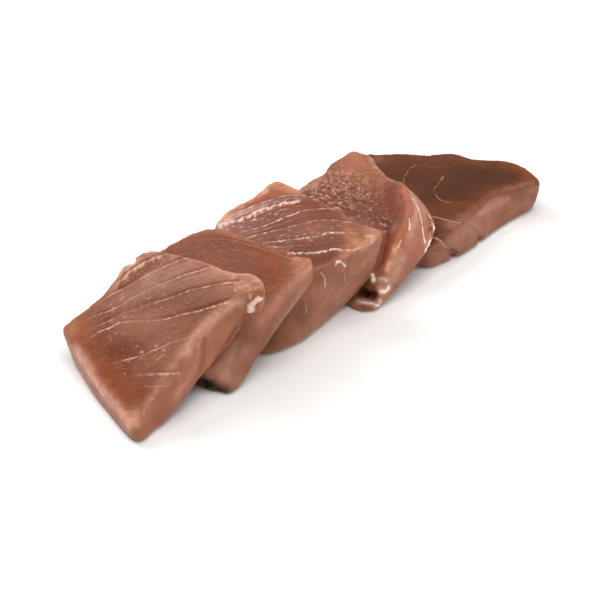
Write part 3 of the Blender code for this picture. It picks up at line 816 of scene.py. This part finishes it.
MIDDLE = dict(
    name="middle_slice",
    station=(-45.0, -18.0), rise=28.0, tilt=11.0, crown=1.0, droop=0.0, droop_over=1.0,
    foot_start=55.0, foot_tilt=22.0, foot_curl=0.03, foot_most=40.0, least_thick=14.0,
    top_round=1.2, foot_round=4.0, bulge=0.5,
    corners=(
        (26, 0, 7, -0.5), (35, -3.2, 24, -5.2), (45, -6.2, 36, -4.2), (52, -7.3, 46, -2.6),
        (57, -9, 54, -2.2), (62, -10.2, 62, -2.5), (70.3, -8.4, 69, -4), (68.3, 0, 70, 4),
        (67.2, 8.6, 69, 12), (68.2, 18, 69, 25), (66.6, 25, 68, 30), (64.2, 35.5, 66, 37),
        (65, 41, 64.5, 42), (63.4, 52.6, 62.5, 51), (59.6, 55, 57, 53), (54, 54.5, 50, 54),
        (46.6, 54.4, 41, 54), (36, 56.3, 28, 55.5), (29, 55.2, 18, 54.5), (25.2, 52.6, 11, 53),
        (22, 42, 5, 42), (24, 20, 4, 20),
    ),
    grain_along=(0.735, -0.677),
    relief=dict(layer=0.6, lip=0.4, streaks=0.04, slow=0.3, lumps=0.12, grain=0.04, edge=0.22),
    seams=(
        (0.85, ((31.8, 16.5, 0.1), (34.7, 13.2, 0.9), (38.6, 8.9, 0.9), (41.5, 5.5, 0.6), (45.2, 2.5, 1),
            (48.8, 0.6, 1), (51.3, -3.1, 0.6), (54.1, -5.9, 0.5), (57, -7.9, 0.2))),
        (0.8, ((32, 26.8, 0.2), (34.3, 24.7, 0.9), (36.9, 22.3, 0.9), (40.9, 18.7, 0.8), (44.9, 15.2, 1),
            (49.7, 11.3, 0.4), (53, 9.7, 0.9), (55.9, 7.6, 0.9), (58.9, 3.7, 0.3), (62.2, -1.1, 0.1))),
        (0.6, ((28.7, 36, 0.3), (33.4, 33.2, 0.9), (38, 30.2, 0.8), (42.6, 27.3, 0.7), (47.2, 24.5, 0.7),
            (51.1, 22.1, 0.6), (55.2, 19.3, 0.4), (59.5, 15.4, 0.5), (62.8, 11.1, 0.5), (65.5, 6.1, 0.6),
            (67.7, 0.1, 0.3))),
        (0.7, ((30.7, 40.4, 0.3), (35.5, 37, 0.6), (39.6, 34.8, 0.8), (43.6, 33.2, 0.9), (48, 32.1, 0.9),
            (51.9, 30.3, 0.8), (56.1, 29, 0.7), (59.7, 26.3, 0.7), (64, 22.3, 0.4), (67.5, 17.4, 0.2))),
        (1.4, ((26.2, 51.8, 0.9), (29.3, 50.6, 0.9), (32.7, 48.2, 1), (38.1, 46.2, 1), (43.7, 44.3, 1),
            (49.3, 41.7, 0.8), (52.4, 39.8, 0.9), (55.2, 38.2, 1), (59.4, 35.4, 0.8))),
        (0.7, ((33.4, 52.7, 0.3), (38.4, 51.5, 0.6), (41.9, 50, 0.8), (45.7, 48.8, 0.9), (48.8, 47.4, 0.7),
            (52.1, 45.7, 0.8), (56, 43.8, 0.6), (59.6, 41, 0.4), (62.6, 37.6, 0.2))),
    ),
    tones=dict(face="#8D5745", face_shade="#7C4731", side="#A4684D", side_shade="#8F583C", torn="#E3B9A7",
               rim=("#BD7A59", 0.4, 1.7)),
    washes=(
        # the back rim, painted with an orange glow of light through its thin edge
        ("#D8946F", 0.85, 3.2, ((28.7, 53.6), (33.8, 55.3), (40.6, 55.2), (48.9, 54.6), (54.8, 54.4),
            (59.5, 53.4), (62.3, 47.5), (63.9, 40.4))),
        ("#7E4535", 0.6, 2, ((48, 38), (56, 34.5), (62.5, 29.5))),
        # a painted highlight on the layer between the two back seams
        ("#D3A08F", 0.65, 2, ((30, 52.4), (35.4, 50.6), (41, 48.2), (47, 45.6))),
        ("#BE8168", 0.5, 4, ((53, -3.4, 10.1), (60, -3.4, 18))),
        ("#C88A6E", 0.6, 2.4, ((58.5, -9.5, 38.1), (52, -7.4, 38.5), (45, -5.8, 37.6))),
        ("#B05A35", 0.6, 1.8, ((45, 51.6), (52, 49.4), (59, 46))),
        ("#E0B09A", 0.6, 3, ((26.3, 52.7), (29.4, 51.5))),
        ("#834226", 0.65, 3.2, ((41.9, 39.6), (51.8, 35.7), (61.9, 30), (64.9, 26.8))),
        ("#6F3C26", 0.75, 3.6, ((36, 17), (41, 11.5), (46.5, 6.2), (51, 2.6))),
        ("#6A2F10", 0.8, 3.2, ((31.5, 9.5), (35, 4.6), (39, 0.4), (45.4, -2.6))),
        # the right corner, with two small painted highlights
        ("#BA7453", 0.7, 4, ((52, -4.5), (57, -2.5), (61, 3))),
        ("#CB8C6F", 0.85, 4, ((68.2, -3.8), (65.8, -7.1), (58.8, -6.6))),
        ("#E6B598", 0.7, 1, ((64.1, -5.5), (65.3, -6.8))),
        ("#E6B598", 0.6, 1, ((64.2, -8.5), (62.6, -10.2))),
        # the side in the shade of the second slice
        ("#744729", 0.75, 8, ((25.1, -4.1, 17.2), (19.4, -3.9, 11.7), (12.3, -3, 7.4))),
        ("#6E3F28", 0.7, 3, ((27, -0.6, 31.5), (26.5, -2.4, 24), (24, -3.4, 16))),
        ("#A55737", 0.5, 4, ((64.4, -9.7, 33), (63.1, -7.1, 26.6))),
        # the foot, with a painted yellowish glow of light through its thin edge
        ("#A7793F", 0.6, 2.2, ((7.1, 0.9, 1.6), (16.8, -3.5, 1.2), (30, -4.8, 1.2), (44, -3.2, 1.2),
            (56, -2.4, 2))),
    ),
    dents=(
        (0.5, 1.3, ((33.6, -2, 34.5), (34.6, -3.4, 29), (35, -4, 22))),
        (0.5, 1.2, ((53.2, -6.8, 38.2), (50.8, -7, 34.1), (50.2, -6.5, 28.4))),
        (-0.35, 0.8, ((44, -5.9, 35.4), (45.2, -5.9, 36.4), (46.9, -6.6, 35.9), (49.9, -6.8, 31.6))),
    ),
    frays=((0.25, 1.6, 1.2, 2.2, ((28.7, 53.2), (40.6, 54.5), (54.8, 53.4))),),
    specks=((0.9, 4.5, ((30, 48), (40, 43), (50, 39))), (0.5, 5, ((38, 24), (48, 16), (58, 8)))),
    pale=(
        (0.9, 0.55, ((44, -5.9, 35.4), (45.2, -5.9, 36.4), (46.9, -6.6, 35.9), (49.9, -6.8, 31.6))),
        (0.45, 0.45, ((46.9, -6.6, 35.9), (45.9, -6.4, 33))),
        (0.45, 0.45, ((48.3, -6.5, 30.6), (49.8, -6.3, 26.8), (50, -5.6, 21.7))),
        (0.5, 0.5, ((59.6, -8.6, 32.6), (59.1, -7.4, 27.6), (61, -5.1, 20))),
        (0.55, 0.5, ((37.4, -4.1, 33.4), (38.8, -5.2, 30.4), (38.6, -5.5, 25.7))),
        (0.45, 0.45, ((28.9, -3.7, 24.9), (28.4, -4.3, 20.4), (28.5, -4.9, 15.6))),
        (0.4, 0.45, ((46, -4.8, 15.4), (47.9, -3.6, 10.1), (48.8, -1.5, 3))),
    ),
)
middle = lay_slice(MIDDLE, [far, fourth], wet_flesh(
    "raw_tuna_middle_slice", seam="#F4D3C8", groove="#5A1A07", sinew="#EDCAB9", sheen=0.4, faint=0.35))

# Second slice
# A plainer, darker slice, most of it under the near one. Its outer corner is thin enough to glow.

SECOND = dict(
    name="second_slice",
    station=(-64.0, -25.7), rise=23.5, tilt=28.0, crown=1.0, droop=0.0, droop_over=1.0,
    foot_start=6.0, foot_tilt=40.0, foot_curl=0.0, foot_most=40.0, least_thick=9.0,
    top_round=1.2, foot_round=2.5, bulge=0.3,
    corners=(
        (-11, 13, -1, -1), (8, 12.5, 14, -0.3), (24, 4.8, 31, 0), (36.5, 1.1, 42, -0.8),
        (46.7, -0.8, 48, 0), (45.5, 6, 48, 7), (44.5, 16, 47, 17), (41, 25, 44.5, 26), (39.2, 37, 42.5, 37),
        (36, 49, 39.5, 48), (31.2, 55.6, 35, 54), (23.6, 60.8, 28, 58.5), (12, 65, 20, 61),
        (-4, 63.5, 6, 60), (-13, 50, -9, 50), (-14, 28, -10, 28), (-13.5, 16, -7.5, 11),
    ),
    grain_along=(0.354, -0.935),
    relief=dict(layer=0.25, lip=0.15, streaks=0.03, slow=0.3, lumps=0.12, grain=0.04, edge=0.22),
    seams=(
        (0.25, ((18.4, 54.1, 0.1), (21.5, 50.8, 0.3), (24.9, 45.9, 0.3), (28.2, 40.8, 0.4),
            (31.5, 35.1, 0.3), (34.5, 28.5, 0.2), (36.9, 21.3, 0.1))),
        (0.25, ((24.1, 56.8, 0.1), (27.5, 52.4, 0.3), (30.5, 47.7, 0.4), (33.3, 42.7, 0.4), (35.1, 38, 0.5),
            (36.8, 32.6, 0.6), (38.4, 27, 0.6), (39.7, 21.2, 0.4), (41.2, 15.7, 0.3), (42.5, 8.2, 0.4))),
    ),
    tones=dict(face="#8A523C", face_shade="#7F452F", side="#A06D58", side_shade="#94614C", torn="#DBAE98",
               rim=("#A9613C", 0.4, 1.7)),
    washes=(
        ("#8C4925", 0.6, 6, ((36.2, 22.2), (36.7, 12.7))),
        # painted orange glow of light through the thin outer corner
        ("#96481C", 0.65, 4.2, ((36.4, 15.3), (35.6, 8.6), (36, 4))),
        ("#B97756", 0.7, 1.8, ((28, 58.7), (35.1, 49.6), (39, 35.7), (42, 22.6), (44.1, 12))),
        # the thin outer corner, with a painted glow of light through it
        ("#CE8868", 0.7, 3, ((43.5, 4.5), (43.5, 1))),
        ("#DDA188", 0.85, 2.6, ((45.2, -0.5, 45.1), (41.5, -0.1, 43))),
        ("#C9876C", 0.85, 3.2, ((40.7, -0.1, 41.5), (33.6, 1.4, 36.7), (28.7, 2.4, 32.2),
            (22.4, 3.7, 26.1))),
        ("#B98A74", 0.7, 4, ((12, 4, 14), (6.7, 5, 14.3), (2.8, 4.4, 10.5), (0.6, 2.8, 7.5))),
        ("#BE8972", 0.6, 3.2, ((42.2, -0.9, 34), (36, -0.6, 25), (28, -0.4, 15))),
        # painted shadow in the dark wedge under the near slice
        ("#4A180C", 0.9, 2.4, ((-9.6, 10, 9.4), (-7.6, 7.4, 8), (-5.6, 4.8, 6.2))),
        ("#100302", 1.1, 3, ((-10.6, 12, 7), (-9, 9.2, 6.6), (-7, 6.9, 5.6), (-5, 4.6, 4), (-3.2, 2.2, 2))),
        ("#100302", 1.1, 3, ((-9.6, 13, 3.4), (-8, 10.4, 3), (-6.2, 7.6, 2.4), (-4.2, 4.6, 1.6),
            (-1.6, 1.6, 0.8))),
        # painted shade in the crease where the near slice lies on it
        ("#7A3218", 0.75, 1.1, ((15.2, 7.7, 26.4), (12, 8, 23), (8.2, 8.3, 20), (3.4, 8, 16.7),
            (-2.3, 7.3, 13.2))),
    ),
    dents=(
        (0.6, 1.4, ((11, 6.2, 17), (5, 4.4, 10), (1.5, 2, 5))),
        (1.8, 2.2, ((-9, 9, 6.6), (-7, 6.8, 5.6), (-5, 4.5, 4.4), (-3.4, 2.4, 2.6))),
        (-0.5, 2.2, ((-3, 3.6, 8), (0.4, 1.6, 5))),
        (0.4, 1.4, ((30, 1.4, 29), (22, 1.8, 19), (14, 1, 9))),
    ),
    frays=((0.3, 1.5, 1.2, 1.8, ((41.9, 25.8), (43.1, 19.4), (43.9, 13.1), (44, 7.4))),),
    specks=((0.25, 6, ((24, 50), (34, 34), (38, 18))),),
    pale=(),
)
second = lay_slice(SECOND, [far, fourth, middle], wet_flesh(
    "raw_tuna_second_slice", seam="#BF907C", groove="#5B1A07", sinew="#E7C5B4", sheen=0.12))

# Near slice
# The top of the row and the nearest: a broad cut face with curved seams, a soft flank with a fold in it,
# and a blunt tab at the high corner that ends in a knot of connective tissue.

NEAR = dict(
    name="near_slice",
    station=(-111.0, -22.0), rise=9.0, tilt=33.0, crown=1.5, droop=0.0, droop_over=1.0,
    foot_start=14.0, foot_tilt=26.0, foot_curl=0.0, foot_most=42.0, least_thick=10.5,
    foot_hook=(51.0, 0.25, 10.0),
    top_round=1.4, foot_round=2.5, bulge=0.3,
    corners=(
        (-1, -0.4, -1.3, -0.4), (9, 0.3, 10, -1.4), (19, -2, 21, -0.8), (25, -1, 28, 0.2),
        (32.5, 2.3, 34, 1.4), (39, 2.2, 40, 1.8), (46.5, 3.3, 47, 1), (53.5, 0.8, 54, -1),
        (58.5, -3, 59, -4.5), (63.4, -8, 62.5, -8), (66.4, -4.5, 66.5, -5), (66.6, 2, 68, 2.5),
        (62.6, 12, 66.5, 12), (59.6, 28, 63.5, 28), (54.2, 47, 58, 46.5), (50, 54.8, 53.5, 53.5),
        (46.8, 57, 50, 55.5), (44.4, 56, 47.5, 55), (41, 59.2, 44.5, 57.5), (36.5, 58.2, 40, 57),
        (27, 58.5, 31, 57.5), (16, 62.3, 20, 60.5), (9.6, 63.2, 12, 61.2), (7, 53, 7.3, 53),
        (3.2, 28, 1.9, 28),
    ),
    grain_along=(0.706, -0.708),
    relief=dict(layer=0.42, lip=0.3, streaks=0.04, slow=0.35, lumps=0.12, grain=0.04, edge=0.22),
    seams=(
        (0.5, ((12.6, 15.3, 0.1), (16.8, 8.9, 0.3), (19, 5.6, 0.45), (21.1, 2.1, 0.6), (23.2, -0.6, 0.6))),
        (0.4, ((10.1, 29.6, 0), (13.7, 25.7, 0.3), (16, 23, 0.8), (18.9, 19.7, 0.6), (22.9, 16.4, 0.5),
            (26.6, 13.4, 0.3), (31.5, 9.4, 0.1), (37.5, 4, 0))),
        (0.4, ((13.1, 47.8, 0.1), (16, 45.6, 0.6), (18.3, 43.5, 0.8), (20.9, 41, 0.8), (23.5, 39.3, 0.5),
            (27.3, 33.5, 0.1), (31, 26.3, 0.2), (35.5, 20.2, 0.6), (39.3, 16.1, 0.6), (43.8, 10.9, 0.6),
            (47.5, 7.3, 0.8), (51.2, 3.9, 0.8), (53.3, 1.8, 0.7))),
        (0.45, ((14.3, 50.8, 0), (18.9, 47.2, 0.3), (20.6, 45.7, 0.7), (23.1, 43.8, 0.3), (28.4, 39.8, 0.1),
            (33.7, 34.5, 0.3), (38.4, 29.9, 0.5), (43.3, 24.9, 0.8), (48.5, 20.4, 0.9), (52.6, 15.4, 0.8),
            (56.7, 10.3, 0.7), (59.1, 6.6, 0.9), (60.5, 4.4, 0.3))),
        (0.45, ((17.7, 55.1, 0.2), (22, 51.1, 0.9), (23.8, 49.1, 0.8), (26.8, 46.4, 0.9), (31.8, 44.1, 0.4),
            (36.1, 40.9, 0.2), (40.2, 37.7, 0.2), (44.7, 34.1, 0.4), (48.6, 31.3, 0.9), (52.2, 28.2, 1),
            (54.9, 25.4, 0.9), (58, 22.4, 0.5))),
        (0.5, ((25.5, 55.7, 0.1), (29.7, 53.7, 0.8), (32.9, 51.3, 0.7), (36.3, 49, 0.5), (41, 46.4, 0.5),
            (45.1, 43.7, 0.5), (50, 39.9, 0.6), (54.3, 36.9, 1), (57.3, 33.7, 0.9))),
        (1.3, ((31.1, 54.8, 0.2), (34.4, 54.6, 0.5), (37.9, 54, 0.8), (41.7, 53, 1), (45.1, 51.4, 1),
            (48.2, 48.9, 0.9), (51.6, 46.1, 0.9), (54.3, 43.8, 0.6))),
    ),
    tones=dict(face="#95604A", face_shade="#87533F", side="#AE6F51", side_shade="#9F6144", torn="#E0B098",
               rim=("#B97755", 0.4, 1.7)),
    washes=(
        # a painted sheen of light on the upper cut face
        ("#CB9A80", 0.6, 2.8, ((42.6, 44.8), (48.5, 42.6), (52.8, 40.4))),
        ("#B5816F", 0.65, 6.5, ((30.2, 44.2), (40.8, 39.8), (48.1, 35), (55, 28))),
        ("#7C4228", 0.55, 2.5, ((20, 49.3), (25, 44.8), (29.9, 40.3), (35.9, 33.8))),
        # the low end in darker browns, then a painted orange glow of light through the thin left edge and
        # both tips
        ("#6E2E0F", 0.75, 6, ((14, 41.7), (14.5, 33.7), (16.8, 27.4))),
        ("#8E4A28", 0.8, 5.6, ((7.2, 29.5), (5.8, 17.2), (6.2, 8))),
        ("#7F3E16", 0.75, 4.5, ((11.6, 22), (11.8, 13.7), (12.7, 7.1))),
        ("#8E4420", 0.8, 3.2, ((10.6, 54), (10.2, 46), (8, 38), (5.8, 27), (3.8, 15))),
        ("#BF7E5A", 0.85, 3.6, ((9, 60.1), (11.4, 58.5))), ("#A25A36", 0.7, 4, ((15, 56), (13, 51))),
        ("#D39A74", 0.85, 3.2, ((0.2, 0), (1.6, 2.4))),
        # the back corner
        ("#CF9A7C", 0.8, 2.4, ((34, 57.6), (39, 57.6), (43.7, 55.4), (49.2, 53.3), (52.3, 49.9))),
        ("#7F3A26", 0.75, 1.3, ((33.4, 52.4), (37.4, 51.1), (40.3, 49.8), (44.2, 47.5), (48.9, 44.1),
            (52.4, 41.2))),
        # the tab
        ("#B3755A", 0.7, 6.5, ((58, 22), (58.1, 13.2), (60.7, 4.5))),
        ("#B5744F", 0.8, 5, ((63.2, -0.1), (62.7, -5.8))),
        ("#CE9479", 0.75, 1.3, ((60, 20.8), (61, 15.3), (62.8, 10.2), (64.4, 5.2), (65.8, 0.6),
            (65.6, -3))),
        ("#9A5024", 0.65, 1.2, ((61.2, 4.9), (61.8, 3.6))),
        ("#944B1F", 0.65, 1.3, ((62.9, -0.4), (62.9, -2.2))),
        ("#CE9166", 0.7, 1.2, ((61.2, -0.4), (61.8, -1.4), (60.4, 0.2))),
        # the front rim, with a painted highlight along its rounded edge
        ("#E2AE95", 0.85, 2.4, ((56.5, -0.6, 44), (51.1, 1.9, 40.7), (46, 3.2, 37.6))),
        ("#D6A086", 0.8, 2.4, ((43, 4.2, 36), (39, 4.4, 33.8), (35.4, 4, 31.6), (31, 3.4, 28.6))),
        ("#BE8469", 0.75, 2.2, ((30.3, 4), (26.5, 3.8), (16, 2.6), (8.2, 1.2))),
        # the pale strip down the left side
        ("#E4A790", 0.95, 2.9, ((6.8, 50.9, 12), (6.1, 46.2, 11.9), (4.5, 37.1, 10.5), (3, 28.1, 9),
            (1.6, 19.1, 8.7), (0.2, 10.3, 8.4), (-0.8, 3.6, 7.6))),
        # the flank and its fold, with painted light on the facet before the fold and painted shade in it,
        # then painted shade in the crease under the tab
        ("#935133", 0.6, 4, ((6.4, -1.7, 5.1), (14.5, -1.4, 5.4), (23, -0.9, 8.2), (30.9, 0.8, 10.6))),
        ("#C48266", 0.6, 2.4, ((36, 2.5, 30), (34.4, 1.7, 22.5), (29.9, 0.4, 17.6), (21.6, -1.6, 14.6))),
        ("#93482A", 0.7, 1.3, ((39.6, 2.2, 31.1), (38.8, 1.7, 24.5), (37.2, 1, 16))),
        ("#7E3520", 0.85, 1.3, ((57.8, -3.5, 38.2), (56.1, -2.2, 34), (52.5, -0.3, 27.6), (47.8, 0.9, 21.1),
            (44.3, 1.5, 17.9))),
        ("#B06D51", 0.6, 4, ((49, 1.8, 33.8), (53.5, 0.3, 38.3))),
    ),
    dents=(
        # the fold, the crease and the knot on the tab
        (0.9, 1.6, ((39.4, 2.2, 31.1), (38.6, 1.7, 24.5), (37, 1, 15))),
        (-0.5, 1.6, ((35.5, 2.5, 29.5), (34.4, 1.7, 23.5), (33, 1.4, 18.8))),
        (0.8, 1.1, ((58.2, -3.1, 36.9), (56.7, -2.6, 31.5), (54, -1, 26.5))),
        (-0.9, 1.3, ((59.4, -4.9, 40.2), (59.3, -4.8, 42))),
        (-0.8, 1.1, ((60.2, -5.6, 44.4), (61.4, -6.6, 46.2), (62.8, -7.5, 46.3))),
        (-0.5, 1.3, ((60, -3.8, 47.9),)), (-0.4, 1, ((57.6, 2.3),)), (-0.4, 1.1, ((61.4, -0.6),)),
        (0.45, 1.6, ((44, 3.4, 31), (49, 1.8, 35), (54, 0, 40))),
    ),
    frays=(
        (0.16, 1.7, 1.1, 4, ((62, 6), (64, 0.5), (63.6, -5))),
        (0.2, 1.5, 1.1, 2.2, ((34, 57.6), (43.7, 56), (50.2, 53.3))),
        (0.12, 1.5, 1, 3, ((60.5, -4, 46), (62, -7, 44))),
    ),
    specks=(
        (1, 4.2, ((24, 51), (27.6, 47.1), (30.2, 44.5))), (0.9, 4, ((17, 43), (21, 40.5), (26, 37))),
        (0.8, 4.6, ((17.5, 22.6), (22.1, 17.9), (24.1, 13.8))),
        (0.5, 7, ((36, 44), (40, 34), (34, 26))),
    ),
    pale=(
        # the knot
        (1, 1.7, ((59.4, -4.9, 40), (59.5, -4.9, 42.4))),
        (1, 1.2, ((59.3, -4.8, 42), (60.1, -5.5, 44.1), (61, -6.4, 45.5), (61.7, -6.8, 46.7),
            (62.8, -7.5, 46.3))),
        (0.5, 1.2, ((60, -3.8, 47.9), (59.8, -4.6, 45.9))), (0.6, 0.7, ((57.6, 2.3),)),
        (0.35, 0.8, ((61.4, -0.8),)), (0.55, 0.4, ((15.7, 46), (19.5, 42.9), (23.6, 40.1))),
        (0.5, 0.4, ((19.7, 46), (21.9, 44.4))),
        # the strip down the left side, then painted glints of light on drops of water
        (0.5, 0.8, ((6.4, 48, 10.6), (4.6, 38, 9.2), (2.8, 28, 7.6), (1.4, 19, 6.8), (0.4, 10, 6.4))),
        (0.4, 0.6, ((6, 44, 7.4), (4, 33, 5.6), (2.4, 23, 4.4))),
        (0.4, 0.5, ((19.1, 32.4),)), (0.4, 0.5, ((16.8, 29.5),)), (0.45, 0.6, ((23.4, 16.3),)),
        (0.4, 0.5, ((13.1, 35.5),)), (0.45, 0.7, ((11, 20.2),)), (0.5, 0.5, ((57.1, 2.4),)),
        (0.4, 0.5, ((59.1, 2.2),)), (0.5, 0.6, ((61.6, -1.4),)),
    ),
)
lay_slice(NEAR, [far, fourth, middle, second], wet_flesh(
    "raw_tuna_near_slice", seam="#DCAE9A", groove="#672407", sinew="#F5D3C4", sheen=0.4))

# Table
# A plain pale top, matt, wide enough to fill the view.

TABLE_HALF = 6.0        # metres
TABLE_DROP = 0.0002     # metres, so that the flesh doesn't share its plane
table_mesh = bpy.data.meshes.new("table_top")
table_mesh.from_pydata(
    [(x * TABLE_HALF, y * TABLE_HALF, -TABLE_DROP) for x, y in ((-1, -1), (1, -1), (1, 1), (-1, 1))],
    [], [(0, 1, 2, 3)])
table_top = bpy.data.objects.new("table_top", table_mesh)
bpy.context.scene.collection.objects.link(table_top)
pale_board = bpy.data.materials.new("matt_pale_board")
pale_board.use_nodes = True
board_shader = pale_board.node_tree.nodes["Principled BSDF"]
board_shader.inputs["Base Color"].default_value = linear("#F6F5F3")
board_shader.inputs["Roughness"].default_value = 0.9
table_mesh.materials.append(pale_board)

# Light
# Soft daylight from all round, a wide softbox high above the row, a small one behind it and one in front.

sky = bpy.data.worlds.new("soft_room")
sky.use_nodes = True
sky.node_tree.nodes["Background"].inputs["Color"].default_value = (1.0, 1.0, 1.0, 1.0)
sky.node_tree.nodes["Background"].inputs["Strength"].default_value = 0.3
bpy.context.scene.world = sky
bpy.context.scene.view_settings.view_transform = "Standard"


def softbox(name, direction, distance, size, watts):
    """Square soft lamp that looks at the row from a direction."""
    lamp = bpy.data.lights.new(name, "AREA")
    lamp.size = size
    lamp.energy = watts
    obj = bpy.data.objects.new(name, lamp)
    way = Vector(direction).normalized()
    obj.location = way * distance
    obj.rotation_euler = way.to_track_quat("Z", "Y").to_euler()
    bpy.context.scene.collection.objects.link(obj)


softbox("softbox_above", (0.0, -0.1, 1.0), 8.8, 6.4, 512.0)
softbox("softbox_behind", (-0.15, 0.57, 0.77), 0.9, 0.4, 3.0)
softbox("softbox_front", (0.45, -0.75, 0.45), 1.2, 0.8, 4.0)

# Camera
# Looks along the row from its near left end, down at 40 degrees, through a 90 mm lens.

VIEW_AZIMUTH = np.radians(-42.0)
VIEW_ELEVATION = np.radians(40.0)
VIEW_DISTANCE = 0.690
VIEW_TARGET = -MM * np.array([*ROW_CENTRE, 0.0])
back = np.array([
    np.sin(VIEW_AZIMUTH) * np.cos(VIEW_ELEVATION), -np.cos(VIEW_AZIMUTH) * np.cos(VIEW_ELEVATION),
    np.sin(VIEW_ELEVATION)])
lens = bpy.data.cameras.new("camera")
lens.lens = 90.0
lens.sensor_width = 36.0
camera = bpy.data.objects.new("camera", lens)
camera.location = VIEW_TARGET + back * VIEW_DISTANCE
camera.rotation_euler = (np.pi / 2 - VIEW_ELEVATION, 0.0, VIEW_AZIMUTH)
bpy.context.scene.collection.objects.link(camera)
bpy.context.scene.camera = camera
